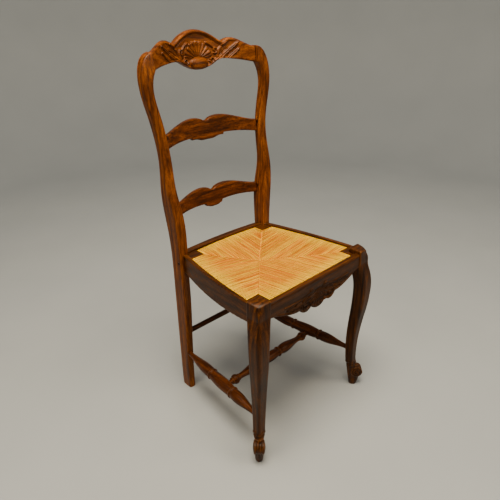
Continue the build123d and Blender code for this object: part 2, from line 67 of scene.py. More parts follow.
# ---- colours and materials ------------------------------------------------------------------


def srgb(code):
    """A linear colour from an sRGB hex code."""
    channels = [int(code[i : i + 2], 16) / 255 for i in (1, 3, 5)]
    return [c / 12.92 if c <= 0.04045 else ((c + 0.055) / 1.055) ** 2.4 for c in channels]


def add_node(tree, kind, inputs=None, stops=None, **settings):
    """Adds a shader node. Inputs given as sockets are linked and others set; stops fill a colour ramp."""
    node = tree.nodes.new(kind)
    for name, value in settings.items():
        setattr(node, name, value)
    for key, value in (inputs or {}).items():
        if isinstance(value, bpy.types.NodeSocket):
            tree.links.new(value, node.inputs[key])
        else:
            node.inputs[key].default_value = value
    for index, (place, shade) in enumerate(stops or []):
        points = node.color_ramp.elements
        point = points[index] if index < len(points) else points.new(place)
        point.position = place
        point.color = shade if hasattr(shade, "__len__") else (shade, shade, shade, 1)
    return node


def mixed(tree, factor, first, second, blend="MIX"):
    """The colour output of a mix node between two colours or sockets."""
    node = add_node(tree, "ShaderNodeMix", {"Factor": factor}, data_type="RGBA", blend_type=blend)
    for socket, value in ((node.inputs[6], first), (node.inputs[7], second)):
        if isinstance(value, bpy.types.NodeSocket):
            tree.links.new(value, socket)
        else:
            socket.default_value = (*value[:3], 1)
    return node.outputs[2]


def new_material(name):
    """An empty node material and its tree."""
    material = bpy.data.materials.new(name)
    material.use_nodes = True
    material.node_tree.nodes.clear()
    return material, material.node_tree


def surface(tree, inputs):
    """Ends a material with a principled shader."""
    shader = add_node(tree, "ShaderNodeBsdfPrincipled", inputs)
    add_node(tree, "ShaderNodeOutputMaterial", {"Surface": shader.outputs["BSDF"]})


def stained_oak(name, pale, dark, along, gloss):
    """Open-pored oak under dark stain and wax: fine dark pores and broad figure run along the grain,
    hollows hold black wax and dirt and are darkened further as painted shade, and handled edges are worn back
    to gold, lightened further as a painted highlight."""
    material, tree = new_material(name)
    place = add_node(tree, "ShaderNodeTexCoord").outputs["Object"]
    stretch = {axis: [1, 1, 1] for axis in "XYZ"}
    for index, axis in enumerate("XYZ"):
        stretch[axis][index] = 0.05
    lengthwise = add_node(tree, "ShaderNodeMapping", {"Vector": place, "Scale": stretch[along]}).outputs[0]
    figure = add_node(
        tree, "ShaderNodeTexNoise", {"Vector": lengthwise, "Scale": 170, "Detail": 5, "Distortion": 0.6}
    )
    rings = add_node(
        tree,
        "ShaderNodeTexWave",
        {"Vector": lengthwise, "Scale": 24, "Distortion": 5, "Detail": 3, "Detail Scale": 1.6},
        wave_type="RINGS" if along == "Z" else "BANDS",
        bands_direction="DIAGONAL",
    )
    pores = add_node(tree, "ShaderNodeTexNoise", {"Vector": lengthwise, "Scale": 950, "Detail": 2})
    patches = add_node(tree, "ShaderNodeTexNoise", {"Vector": place, "Scale": 14, "Detail": 3})
    pore_marks = add_node(
        tree, "ShaderNodeValToRGB", {"Fac": pores.outputs["Fac"]}, stops=[(0.40, 0.0), (0.56, 1.0)]
    ).outputs["Color"]
    figure_shade = add_node(
        tree, "ShaderNodeValToRGB", {"Fac": figure.outputs["Fac"]}, stops=[(0.32, 0.0), (0.72, 1.0)]
    ).outputs["Color"]
    wood = mixed(tree, figure_shade, dark, pale)
    ringed = mixed(tree, 0.35, wood, rings.outputs["Color"], "SOFT_LIGHT")
    blotched = mixed(tree, 0.5, ringed, patches.outputs["Fac"], "SOFT_LIGHT")
    # near-black of wax in the pores, also used as the painted shade in hollows
    black_wax_and_shade = [c * 0.28 for c in dark]
    pored = mixed(tree, pore_marks, mixed(tree, 0.55, blotched, black_wax_and_shade), blotched)
    wear_and_shade = add_node(tree, "ShaderNodeAttribute", attribute_name="wear_and_shade").outputs["Fac"]
    # painted shade: concave hollows darken towards black, together with the wax and dirt they hold
    hollow = add_node(
        tree, "ShaderNodeValToRGB", {"Fac": wear_and_shade}, stops=[(0.12, 0.9), (0.45, 0.0)]
    ).outputs["Color"]
    # painted highlight: proud edges and ridges lighten towards gold, together with real worn-back stain
    rubbed_wear_and_highlight = add_node(
        tree, "ShaderNodeValToRGB", {"Fac": wear_and_shade}, stops=[(0.58, 0.0), (0.95, 0.5)]
    ).outputs["Color"]
    dirt_and_painted_shade = mixed(tree, hollow, pored, black_wax_and_shade)
    # gold of worn wood, also the colour of the painted highlight on edges
    golden = mixed(tree, 0.6, pale, srgb("#b87a34"))
    colour = mixed(tree, rubbed_wear_and_highlight, dirt_and_painted_shade, golden)
    roughness = add_node(
        tree,
        "ShaderNodeMapRange",
        {
            "Value": figure.outputs["Fac"],
            "From Min": 0.3,
            "From Max": 0.7,
            "To Min": gloss,
            "To Max": gloss + 0.16,
        },
    ).outputs[0]
    relief = add_node(
        tree, "ShaderNodeBump", {"Height": pore_marks, "Strength": 0.35, "Distance": 0.15 * MM}
    ).outputs[0]
    ripples = add_node(
        tree,
        "ShaderNodeBump",
        {"Height": patches.outputs["Fac"], "Normal": relief, "Strength": 0.3, "Distance": 1.2 * MM},
    ).outputs[0]
    surface(
        tree,
        {
            "Base Color": colour,
            "Roughness": roughness,
            "Normal": ripples,
            "Specular IOR Level": 0.14,
            "Coat Weight": 0.03,
            "Coat Roughness": 0.25,
            "IOR": 1.5,
        },
    )
    return material


def raw_oak(name, pale, dark):
    """Unstained seat framing: dry, matt, paler wood gone grey with dust."""
    material, tree = new_material(name)
    place = add_node(tree, "ShaderNodeTexCoord").outputs["Object"]
    lengthwise = add_node(tree, "ShaderNodeMapping", {"Vector": place, "Scale": (0.08, 1, 1)}).outputs[0]
    grain = add_node(
        tree, "ShaderNodeTexNoise", {"Vector": lengthwise, "Scale": 300, "Detail": 4}
    ).outputs["Fac"]
    bumped = add_node(
        tree, "ShaderNodeBump", {"Height": grain, "Strength": 0.4, "Distance": 0.2 * MM}
    ).outputs[0]
    surface(tree, {"Base Color": mixed(tree, grain, dark, pale), "Roughness": 0.72, "Normal": bumped})
    return material


TWISTS_PER_METRE = 95.0


def twisted_rush(name, pale, deep, shade):
    """Hand-twisted rush cord: each cord has its own straw or orange colouring, paler over the seat's rolled
    edge as a painted highlight, a spiral twist with fine fibres along it, and painted brown shade, with some
    dust, where it lies against its neighbours."""
    material, tree = new_material(name)
    thread = add_node(tree, "ShaderNodeUVMap", uv_map="thread").outputs[0]
    parts = add_node(tree, "ShaderNodeSeparateXYZ", {"Vector": thread})
    along, around = parts.outputs["X"], parts.outputs["Y"]
    # each cord's own colouring, lifted towards pale over the seat's edge as a painted highlight
    tone_and_edge_highlight = add_node(tree, "ShaderNodeAttribute", attribute_name="tone_and_edge_highlight").outputs["Fac"]
    spiral = add_node(
        tree, "ShaderNodeMath", {0: along, 1: TWISTS_PER_METRE, 2: around}, operation="MULTIPLY_ADD"
    ).outputs[0]
    twist = add_node(tree, "ShaderNodeMath", {0: spiral, 1: 0.5}, operation="PINGPONG").outputs[0]
    fibre_place = add_node(
        tree, "ShaderNodeMapping", {"Vector": thread, "Scale": (160, 14, 1)}
    ).outputs[0]
    fibres = add_node(
        tree, "ShaderNodeTexNoise", {"Vector": fibre_place, "Scale": 1, "Detail": 4}
    ).outputs["Fac"]
    place = add_node(tree, "ShaderNodeTexCoord").outputs["Object"]
    patches = add_node(tree, "ShaderNodeTexNoise", {"Vector": place, "Scale": 30, "Detail": 3}).outputs["Fac"]
    toned_and_edge_highlit = mixed(tree, tone_and_edge_highlight, deep, pale)
    patched = mixed(tree, 0.45, toned_and_edge_highlit, patches, "SOFT_LIGHT")
    fibred = mixed(tree, 0.5, patched, fibres, "SOFT_LIGHT")
    # painted shade, with some dust, darkens each cord's flanks where it lies against its neighbours
    turned = add_node(tree, "ShaderNodeMath", {0: around, 1: 2 * math.pi}, operation="MULTIPLY").outputs[0]
    flank = add_node(tree, "ShaderNodeMath", {0: turned}, operation="COSINE").outputs[0]
    beside = add_node(tree, "ShaderNodeMath", {0: flank}, operation="ABSOLUTE").outputs[0]
    painted_shade_between_cords = add_node(
        tree, "ShaderNodeValToRGB", {"Fac": beside}, stops=[(0.38, 0.0), (0.84, 1.0)]
    ).outputs["Color"]
    colour = mixed(tree, painted_shade_between_cords, fibred, shade)
    twist_bump = add_node(
        tree, "ShaderNodeBump", {"Height": twist, "Strength": 0.5, "Distance": 0.5 * MM}
    ).outputs[0]
    fibre_bump = add_node(
        tree,
        "ShaderNodeBump",
        {"Height": fibres, "Normal": twist_bump, "Strength": 0.3, "Distance": 0.2 * MM},
    ).outputs[0]
    surface(tree, {"Base Color": colour, "Roughness": 0.55, "Normal": fibre_bump, "Specular IOR Level": 0.06})
    return material


def dull_steel(name):
    """Old zinc-plated screws, greyed and a little rough."""
    material, tree = new_material(name)
    place = add_node(tree, "ShaderNodeTexCoord").outputs["Object"]
    specks = add_node(tree, "ShaderNodeTexNoise", {"Vector": place, "Scale": 900, "Detail": 3}).outputs["Fac"]
    shade = mixed(tree, specks, srgb("#6b6862"), srgb("#9a9891"))
    surface(tree, {"Base Color": shade, "Metallic": 1.0, "Roughness": 0.45})
    return material


def pale_floor(name, shade):
    """Painted floor: a flat pale grey with faint scuffs."""
    material, tree = new_material(name)
    place = add_node(tree, "ShaderNodeTexCoord").outputs["Object"]
    scuffs = add_node(tree, "ShaderNodeTexNoise", {"Vector": place, "Scale": 3, "Detail": 6}).outputs["Fac"]
    colour = mixed(tree, 0.12, shade, scuffs, "SOFT_LIGHT")
    surface(tree, {"Base Color": colour, "Roughness": 0.6})
    return material


MATERIALS = {}


def material(kind):
    """The material of this kind, made the first time it is wanted from the panel's colours."""
    look = bpy.context.scene.chair_look
    if kind not in MATERIALS:
        wood, _, along = kind.rpartition("_")
        stains = {
            "golden_oak": (look.golden_pale, look.golden_dark, 0.30),
            "brown_oak": (look.brown_pale, look.brown_dark, 0.30),
            "dark_oak": (look.dark_pale, look.dark_dark, 0.34),
        }
        if wood in stains:
            pale, dark, gloss = stains[wood]
            MATERIALS[kind] = stained_oak(f"stained_{kind}", pale, dark, along, gloss)
        elif kind == "raw_wood":
            MATERIALS[kind] = raw_oak("raw_oak", look.raw_pale, look.raw_dark)
        elif kind == "rush":
            MATERIALS[kind] = twisted_rush("twisted_rush", look.rush_pale, look.rush_deep, look.rush_shade)
        elif kind == "steel":
            MATERIALS[kind] = dull_steel("dull_steel")
        else:
            raise ValueError(f"there is no material of the kind {kind}")
    return MATERIALS[kind]


# ---- meshes -----------------------------------------------------------------------------------


def show(name, mesh, kind, stands_for):
    """Adds a piece to the scene, riding with the CAD pieces it stands for."""
    obj = bpy.data.objects.new(name, mesh)
    bpy.context.scene.collection.objects.link(obj)
    mesh.materials.clear()
    mesh.materials.append(material(kind))
    mesh.polygons.foreach_set("use_smooth", [True] * len(mesh.polygons))
    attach(obj, BODY_OF[stands_for[0]])
    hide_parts(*stands_for)
    return obj


def mesh_of(name, points, faces):
    """A mesh from its points and faces."""
    mesh = bpy.data.meshes.new(name)
    mesh.from_pydata(np.asarray(points).reshape(-1, 3).tolist(), [], faces)
    mesh.update()
    return mesh


def vertex_grid(mesh):
    """The mesh's points and normals as arrays."""
    points = np.empty(len(mesh.vertices) * 3)
    mesh.vertices.foreach_get("co", points)
    normals = np.empty(len(mesh.vertices) * 3)
    mesh.vertex_normals.foreach_get("vector", normals)
    return points.reshape(-1, 3), normals.reshape(-1, 3)


WEAR_SCALE = 0.0016  # how quickly a bend in the surface counts as fully worn or hollow


def mark_wear_and_shade(mesh):
    """Stores how proud each point stands: near 1 on handled edges, near 0 in hollows, 0.5 on a flat."""
    points, normals = vertex_grid(mesh)
    count = len(points)
    ends = np.empty(len(mesh.edges) * 2, int)
    mesh.edges.foreach_get("vertices", ends)
    ends = ends.reshape(-1, 2)
    both = np.concatenate([ends, ends[:, ::-1]])
    degree = np.maximum(np.bincount(both[:, 0], minlength=count), 1)

    def neighbour_mean(values):
        return np.bincount(both[:, 0], values[both[:, 1]], minlength=count) / degree

    drawn_in = np.stack([neighbour_mean(points[:, axis]) for axis in range(3)], 1) - points
    spacing = np.linalg.norm(points[both[:, 0]] - points[both[:, 1]], axis=1)
    mean_square = np.bincount(both[:, 0], spacing**2, minlength=count) / degree
    proud = -(drawn_in * normals).sum(1) / np.maximum(mean_square, 1e-9)
    for _ in range(3):
        proud = 0.4 * proud + 0.6 * neighbour_mean(proud)
    wear_and_shade = np.clip(0.5 + proud * WEAR_SCALE, 0, 1)
    attribute = mesh.attributes.new("wear_and_shade", "FLOAT", "POINT")
    attribute.data.foreach_set("value", wear_and_shade)


def worked_mesh(node, grid, softening):
    """A CAD piece's mesh on an even grid with its arrises softened, as hand work and long use leave them."""
    source = frame["nodes"][node]
    helper = bpy.data.objects.new("helper", source.data.copy())
    bpy.context.scene.collection.objects.link(helper)
    remesh = helper.modifiers.new("even_grid", "REMESH")
    remesh.mode = "VOXEL"
    remesh.voxel_size = grid
    smooth = helper.modifiers.new("softened", "SMOOTH")
    smooth.factor = 0.5
    smooth.iterations = softening
    ready = helper.evaluated_get(bpy.context.evaluated_depsgraph_get())
    mesh = bpy.data.meshes.new_from_object(ready)
    bpy.data.objects.remove(helper)
    return mesh


def show_worked(node, kind, grid=1.6 * MM, softening=3, shape=None):
    """Shows a CAD piece as worked wood, with any carving done by shape."""
    mesh = worked_mesh(node, grid, softening)
    if shape:
        shape(mesh)
    mark_wear_and_shade(mesh)
    return show(f"worked_{node}", mesh, kind, [node])


def finish_node(node, kind):
    """Gives a CAD piece its material as it stands."""
    mesh = frame["nodes"][node].data
    mesh.materials.clear()
    mesh.materials.append(material(kind))


# ---- carving ----------------------------------------------------------------------------------


def curve(*points, steps=14):
    """Points along a Bezier curve with these control points."""
    t = np.linspace(0, 1, steps)[:, None]
    degree = len(points) - 1
    line = np.zeros((steps, 2))
    for index, point in enumerate(points):
        weight = math.comb(degree, index) * t**index * (1 - t) ** (degree - index)
        line += weight * np.array(point, float)
    return line


def spiral(centre, radius, turns, start):
    """Points of a volute winding in from its outer end at this angle, in degrees."""
    t = np.linspace(0, 1, 26)
    angle = math.radians(start) + t * turns * 2 * math.pi
    reach = radius * (1 - 0.85 * t)
    return np.stack([centre[0] + reach * np.cos(angle), centre[1] + reach * np.sin(angle)], 1)


def stroke(across, up, line, width, taper=0.6):
    """0 to 1 over a rounded ridge along a line, which narrows by the taper towards its far end."""
    nearest = np.full(across.shape, 1e9)
    place = np.zeros(across.shape)
    last = len(line) - 1
    for index in range(last):
        a, b = line[index], line[index + 1]
        run = b - a
        t = np.clip(((across - a[0]) * run[0] + (up - a[1]) * run[1]) / max(run @ run, 1e-9), 0, 1)
        distance = np.hypot(across - a[0] - t * run[0], up - a[1] - t * run[1])
        closer = distance < nearest
        nearest = np.where(closer, distance, nearest)
        place = np.where(closer, (index + t) / last, place)
    reach = width * (1 - taper * place)
    return np.clip(1 - (nearest / reach) ** 2, 0, 1) ** 0.8


def fade(value, start, end):
    """Smooth step from 0 at start to 1 at end."""
    t = np.clip((value - start) / (end - start), 0, 1)
    return t * t * (3 - 2 * t)


def fan(across, up, hub, radius, spread, ribs):
    """A shell of rounded ribs with a scalloped rim, opening upward from its hub by spread degrees a side."""
    out = np.hypot(across - hub[0], up - hub[1])
    angle = np.degrees(np.arctan2(across - hub[0], up - hub[1]))
    wave = np.abs(np.cos(np.radians(angle) * 90 / spread * ribs))
    rim = radius * (0.93 + 0.07 * wave)
    inside = fade(rim - out, 0, 2.5) * fade(spread - np.abs(angle), 0, 5)
    return inside * (0.25 + 0.75 * wave**0.8) * (0.45 + 0.55 * out / radius)


def pebbles(across, up, pitch):
    """Punched ground: small rounded bumps, none quite in line."""
    turn = 2 * math.pi / pitch
    sway = 1.4 * np.sin(up * 0.9) + 0.9 * np.sin(across * 0.55)
    return np.sin(across * turn + sway) * np.sin(up * turn + 1.3 * np.sin(across * 0.7))


def crest_relief(across, up, below_top, above_bottom):
    """Millimetres of carving on the crest: a beaded arch, a shell on an oval boss, volutes and leaves."""
    x = np.abs(across)
    carved = fade(128 - x, 0, 26)
    relief = -2.6 * carved * fade(below_top, 5, 9) * fade(above_bottom, 1, 6)
    arch = fade(84 - x, 0, 6)
    relief += arch * 1.6 * np.clip(1 - ((below_top - 5) / 5) ** 2, 0, 1)
    relief -= arch * 1.7 * np.clip(1 - ((below_top - 12.0) / 2.4) ** 2, 0, 1)
    raised = 5.6 * fan(x, up, (0, 929), 46, 82, 10)
    leaves = [
        (curve((34, 915), (62, 924), (92, 944), (122, 966)), 9.0, 4.4),
        (curve((46, 911), (76, 918), (98, 929), (124, 951)), 7.5, 3.8),
        (curve((60, 934), (66, 950), (74, 961), (92, 969)), 6.5, 4.2),
        (spiral((42, 927), 9, 1.2, 200), 3.4, 5.6),
        (spiral((54, 950), 8, 1.2, 250), 3.0, 5.0),
        (curve((30, 968), (42, 964), (52, 956), (56, 944)), 3.6, 4.2),
    ]
    for line, width, height in leaves:
        raised = np.maximum(raised, height * stroke(x, up, line, width))
    relief = relief + raised
    oval = (across / 28) ** 2 + ((up - 921) / 14.5) ** 2
    boss = 8.5 * np.sqrt(np.clip(1 - oval, 0, 1)) + 0.35 * pebbles(across, up, 4.2) * (oval < 0.85)
    relief = np.where(oval < 1.25, -1.5, relief)
    relief = np.where(oval < 1, boss, relief)
    veins = [
        curve((44, 919), (70, 930), (94, 946), (116, 962)),
        curve((58, 914), (80, 920), (98, 931), (118, 947)),
        curve((72, 938), (78, 946), (84, 950), (94, 953)),
        curve((66, 922), (74, 930), (78, 938), (78, 944)),
        curve((86, 926), (94, 936), (98, 944), (98, 952)),
    ]
    for line in veins:
        relief = relief - 1.9 * stroke(x, up, line, 1.7, 0.3)
    return relief


def apron_relief(across, up, below_top, above_bottom):
    """Millimetres of carving on the front rail: a hanging shell between leaves on a punched ground."""
    x = np.abs(across)
    bead = fade(150 - x, 0, 10) * np.clip(1 - ((above_bottom - 2.8) / 3.2) ** 2, 0, 1) ** 0.5
    carved = fade(128 - x, 0, 18) * fade(432 - 0.12 * x - up, 0, 6) * fade(above_bottom, 4, 8)
    relief = 1.9 * bead + carved * (-2.2 + 0.6 * pebbles(across, up, 3.4))
    raised = 4.2 * fan(x, -up, (0, -421), 44, 76, 9) * fade(above_bottom, 0.5, 3)
    leaves = [
        (curve((22, 424), (46, 420), (80, 413), (122, 421)), 7.0, 3.2),
        (curve((36, 412), (58, 403), (86, 402), (112, 409)), 7.5, 3.6),
        (curve((44, 420), (60, 412), (66, 402), (61, 391)), 4.6, 3.8),
        (curve((72, 416), (84, 410), (90, 402), (91, 397)), 4.2, 3.2),
        (spiral((47, 391), 8, 1.2, 300), 3.2, 3.8),
        (spiral((27, 427), 6, 1.1, 30), 2.6, 3.4),
    ]
    for line, width, height in leaves:
        raised = np.maximum(raised, height * stroke(x, up, line, width))
    relief = relief + raised * fade(above_bottom, 1, 4)
    veins = [
        curve((40, 411), (60, 403), (84, 402), (108, 407)),
        curve((30, 422), (60, 416), (90, 414), (118, 419)),
    ]
    for line in veins:
        relief = relief - 1.4 * stroke(x, up, line, 1.6, 0.3)
    return relief


def plain_relief(across, up, below_top, above_bottom):
    """No carving, only the slight waves that a hand plane and scraper leave."""
    return 0.12 * np.sin(across / 17) * np.sin(up / 11 + across / 29)


def tree_of(node):
    """A search tree over a CAD piece, to find its surface along a line."""
    mesh = frame["nodes"][node].data
    return BVHTree.FromPolygons([v.co for v in mesh.vertices], [p.vertices for p in mesh.polygons])


def hit(tree, origin, direction):
    """Where a line first meets a piece."""
    place = tree.ray_cast(Vector(origin), Vector(direction).normalized())[0]
    if place is None:
        raise ValueError(f"nothing lies along {tuple(direction)} from {tuple(origin)}")
    return place


def eased(count, crowding):
    """0 to 1 in steps that crowd towards both ends."""
    t = np.linspace(0, 1, count)
    return (1 - crowding) * t + crowding * (0.5 - 0.5 * np.cos(math.pi * t))


def rounding(distance, radius):
    """How far a rounded edge falls back at this distance in from the edge."""
    inside = np.clip(radius - distance, 0, radius)
    return radius - np.sqrt(radius**2 - inside**2)


def slant(xs, heights):
    """Cosine of an outline's slope, which turns heights above it into distances from it."""
    return (1 / np.hypot(1, np.gradient(heights, xs)))[:, None]


def ring_faces(count, ring):
    """Quads between closed rings of points, with both ends closed."""
    faces = []
    for row in range(count - 1):
        for k in range(ring):
            following = (k + 1) % ring
            a, b = row * ring, (row + 1) * ring
            faces.append((a + k, a + following, b + following, b + k))
    faces.append(tuple(reversed(range(ring))))
    faces.append(tuple((count - 1) * ring + k for k in range(ring)))
    return faces


def shaped_board(node, half, overlap, thick, edge, relief, columns, rows):
    """A bowed, raked back rail measured from its CAD piece, with rounded edges and carving on its front."""
    tree = tree_of(node)
    low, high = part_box(node)
    middle_z = (low.z + high.z) / 2
    xs = np.linspace(-half - overlap, half + overlap, columns)
    backs, tops, bottoms = [], [], []
    for x in np.clip(xs, -half, half):
        back = hit(tree, (x, high.y + 0.1, middle_z), (0, -1, 0)).y
        middle = back - thick / 2
        tops.append(hit(tree, (x, middle + BACK_RAKE * 0.1, middle_z + 0.1), (0, -BACK_RAKE, -1)).z)
        bottoms.append(hit(tree, (x, middle - BACK_RAKE * 0.1, middle_z - 0.1), (0, BACK_RAKE, 1)).z)
        backs.append(back)
    backs, tops, bottoms = (np.array(values) for values in (backs, tops, bottoms))
    sections = []
    for count, crowding, is_front in ((rows, 0.5, True), (rows // 3, 0.6, False)):
        share = eased(count, crowding)
        up = bottoms[:, None] + (tops - bottoms)[:, None] * share
        below_top = (tops[:, None] - up) * slant(xs, tops)
        above_bottom = (up - bottoms[:, None]) * slant(xs, bottoms)
        fall = rounding(below_top, edge) + rounding(above_bottom, edge * 0.7)
        depth = backs[:, None] + BACK_RAKE * (up - middle_z)
        across = np.repeat(xs[:, None], count, 1)
        if is_front:
            carving = relief(across / MM, up / MM, below_top / MM, above_bottom / MM) * MM
            carving = carving * fade(below_top, 0, 1.5 * MM) * fade(above_bottom, 0, 1.5 * MM)
            depth = depth - thick + fall - carving
        else:
            depth = depth - fall
        section = np.stack([across, depth, up], 2)
        sections.append(section if is_front else section[:, ::-1])
    rings = np.concatenate(sections, 1)
    mesh = mesh_of(node, rings, ring_faces(columns, rings.shape[1]))
    mark_wear_and_shade(mesh)
    return mesh


def carved_apron(node, columns, rows):
    """The front rail, with its rebate for the seat, rounded top edge and carved apron."""
    tree = tree_of(node)
    low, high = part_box(node)
    seat_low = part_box("rush_weave")[0]
    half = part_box("right_front_leg")[0].x
    beside_carving = 160 * MM
    xs = np.linspace(-half - 2 * MM, half + 2 * MM, columns)
    face = hit(tree, (beside_carving, low.y - 0.1, high.z - 15 * MM), (0, 1, 0)).y
    lip = seat_low.y - 0.4 * MM
    ledge = seat_low.z - 0.3 * MM
    bottoms = np.array(
        [hit(tree, (x, face + 8 * MM, low.z - 0.1), (0, 0, 1)).z for x in np.clip(xs, -half + MM, half - MM)]
    )
    share = eased(rows, 0.4)
    up = bottoms[:, None] + (high.z - bottoms)[:, None] * share
    below_top = high.z - up
    above_bottom = (up - bottoms[:, None]) * slant(xs, bottoms)
    across = np.repeat(xs[:, None], rows, 1)
    carving = apron_relief(across / MM, up / MM, below_top / MM, above_bottom / MM) * MM
    fall = rounding(below_top, 9 * MM) + rounding(above_bottom, 2.5 * MM)
    front = np.stack([across, face + fall - carving * fade(above_bottom, 0, 1.5 * MM), up], 2)
    corners = []
    for y, z in ((lip - MM, high.z), (lip, high.z - MM), (lip, ledge), (high.y, ledge)):
        corners.append(np.stack([xs, np.full(columns, y), np.full(columns, z)], 1))
    corners.append(np.stack([xs, np.full(columns, high.y), bottoms], 1))
    rings = np.concatenate([front, np.stack(corners, 1)], 1)
    mesh = mesh_of(node, rings, ring_faces(columns, rings.shape[1]))
    mark_wear_and_shade(mesh)
    return mesh


SCROLL = (5, 49)  # millimetres out from the foot's centre, and up
SCROLL_RADIUS = 17.5


def carve_foot(mesh, foot, outward):
    """Cuts a front foot: volutes on the scroll's ends, flutes down its front, and a ring of leaves above."""
    points, normals = vertex_grid(mesh)
    beside = np.array([-outward[1], outward[0], 0.0])
    from_foot = points - np.array([foot[0], foot[1], 0.0])
    out = from_foot @ np.array([outward[0], outward[1], 0.0]) / MM
    across = from_foot @ beside / MM
    up = points[:, 2] / MM
    ends = normals @ beside
    from_axis = np.hypot(out - SCROLL[0], up - SCROLL[1]) / SCROLL_RADIUS
    scroll_zone = fade(up, 10, 26) * fade(78 - up, 0, 12)
    narrowed = scroll_zone * (0.02 + 0.18 * np.clip(from_axis, 0, 1.1) ** 2)
    volute = stroke(out, up, spiral(SCROLL, 13, 1.6, 110), 2.2, 0.3)
    on_end = (np.abs(ends) > 0.55) & (up < 72) & (np.abs(across) > 11)
    cut = np.where(on_end, -2.2 * volute, 0.0)
    near_scroll = fade(up, 18, 30) * fade(84 - up, 0, 8) * fade(out, 4, 12)
    flutes = sum(np.exp(-(((np.abs(across) - place) / 1.5) ** 2)) for place in (0, 8))
    cut -= 2.0 * near_scroll * flutes
    ring = 82 - 5 * np.abs(np.cos(across / 7))
    cut -= 2.0 * np.exp(-(((up - ring) / 2.0) ** 2))
    cut += 1.2 * np.exp(-(((up - ring - 5) / 3.0) ** 2))
    moved = points + normals * cut[:, None] * MM - (across * narrowed * MM)[:, None] * beside
    moved[:, 2] = np.maximum(moved[:, 2], 0)
    mesh.vertices.foreach_set("co", moved.ravel())
    mesh.update()


def wear_top(mesh, centre, top, outward):
    """Rounds over the top of a front leg, most at its outer corner, where hands and knees have worn it."""
    points, _ = vertex_grid(mesh)
    beyond_x = (points[:, 0] - centre[0]) / MM * math.copysign(1, outward[0])
    beyond_y = (points[:, 1] - centre[1]) / MM * math.copysign(1, outward[1])
    corner = np.clip(beyond_x + beyond_y, 0, 40) / 40
    near_top = fade(points[:, 2] / MM, top / MM - 34, top / MM)
    pulled = (7 * corner**2 * near_top * MM)[:, None] * np.array([outward[0], outward[1], 0])
    points -= pulled
    points[:, 2] -= 9 * corner**2 * near_top**2 * MM
    mesh.vertices.foreach_set("co", points.ravel())
    mesh.update()


# ---- rush -------------------------------------------------------------------------------------


class Strands:
    """Gathers the cords of a woven seat into one mesh."""

    SIDES = 10

    def __init__(self):
        self.points, self.faces, self.thread, self.tones_and_edge_highlight = [], [], [], []

    def add(self, path, normals, sideways, half_widths, half_thick, tones_and_edge_highlight):
        """One cord along a path, elliptical in section, each point with its outward normal."""
        base = len(self.points)
        ring = self.SIDES
        travelled = 0.0
        for index, centre in enumerate(path):
            if index:
                travelled += (centre - path[index - 1]).length
            for k in range(ring):
                angle = 2 * math.pi * k / ring
                across = sideways * (half_widths[index] * math.cos(angle))
                outward = normals[index] * (half_thick * math.sin(angle))
                self.points.append(centre + (across + outward))
                self.tones_and_edge_highlight.append(tones_and_edge_highlight[index])
            if index:
                row = base + (index - 1) * ring
                for k in range(ring):
                    following = (k + 1) % ring
                    self.faces.append((row + k, row + following, row + ring + following, row + ring + k))
        self.thread += self._thread_of(path)

    def _thread_of(self, path):
        """Length along and turn around the cord at each face corner."""
        marks = []
        before = 0.0
        for index in range(1, len(path)):
            after = before + (path[index] - path[index - 1]).length
            for k in range(self.SIDES):
                here, there = k / self.SIDES, (k + 1) / self.SIDES
                marks += [(before, here), (before, there), (after, there), (after, here)]
            before = after
        return marks

    def mesh(self, name):
        """The finished mesh. The cords' open ends lie hidden among their neighbours."""
        mesh = mesh_of(name, [tuple(p) for p in self.points], self.faces)
        layer = mesh.uv_layers.new(name="thread")
        layer.data.foreach_set("uv", np.array(self.thread).ravel())
        tone_and_edge_highlight = mesh.attributes.new("tone_and_edge_highlight", "FLOAT", "POINT")
        tone_and_edge_highlight.data.foreach_set("value", self.tones_and_edge_highlight)
        return mesh


def cord_profile(length, top, bottom, corner, drop, hang, over):
    """Depth in from the seat's edge, height and outward normal along a cord, in metres. It runs from the
    diagonal under the seat out round the edge, and in over the top to the diagonal, where it dips. The top
    sinks by drop and the underside hangs by hang; over lifts the top end above the cord it crosses."""
    profile = []
    for share in (1.0, 0.75, 0.5, 0.25):
        profile.append((corner + (length - corner) * share, bottom - hang * share, (0, -1)))
    for low, high, centre_z in ((-90, 0, bottom + corner), (0, 90, top - corner)):
        for degrees in range(low, high + 1, 15):
            direction = (-math.cos(math.radians(degrees)), math.sin(math.radians(degrees)))
            profile.append((corner * (1 + direction[0]), centre_z + corner * direction[1], direction))
    steps = max(4, int(length / (10 * MM)))
    for index in range(1, steps + 1):
        share = index / steps
        lift = over * fade(share, 0.8, 0.98)
        profile.append((corner + (length - corner - 2 * MM) * share, top - drop * share**1.15 + lift, (0, 1)))
    end = top - drop + over
    profile.append((length + 0.6 * MM, end - 0.9 * MM, (0.6, 0.8)))
    profile.append((length + 2.4 * MM, end - 3.4 * MM, (0.9, 0.43)))
    profile.append((length + 3.0 * MM, end - 6.0 * MM, (1, 0.1)))
    return profile


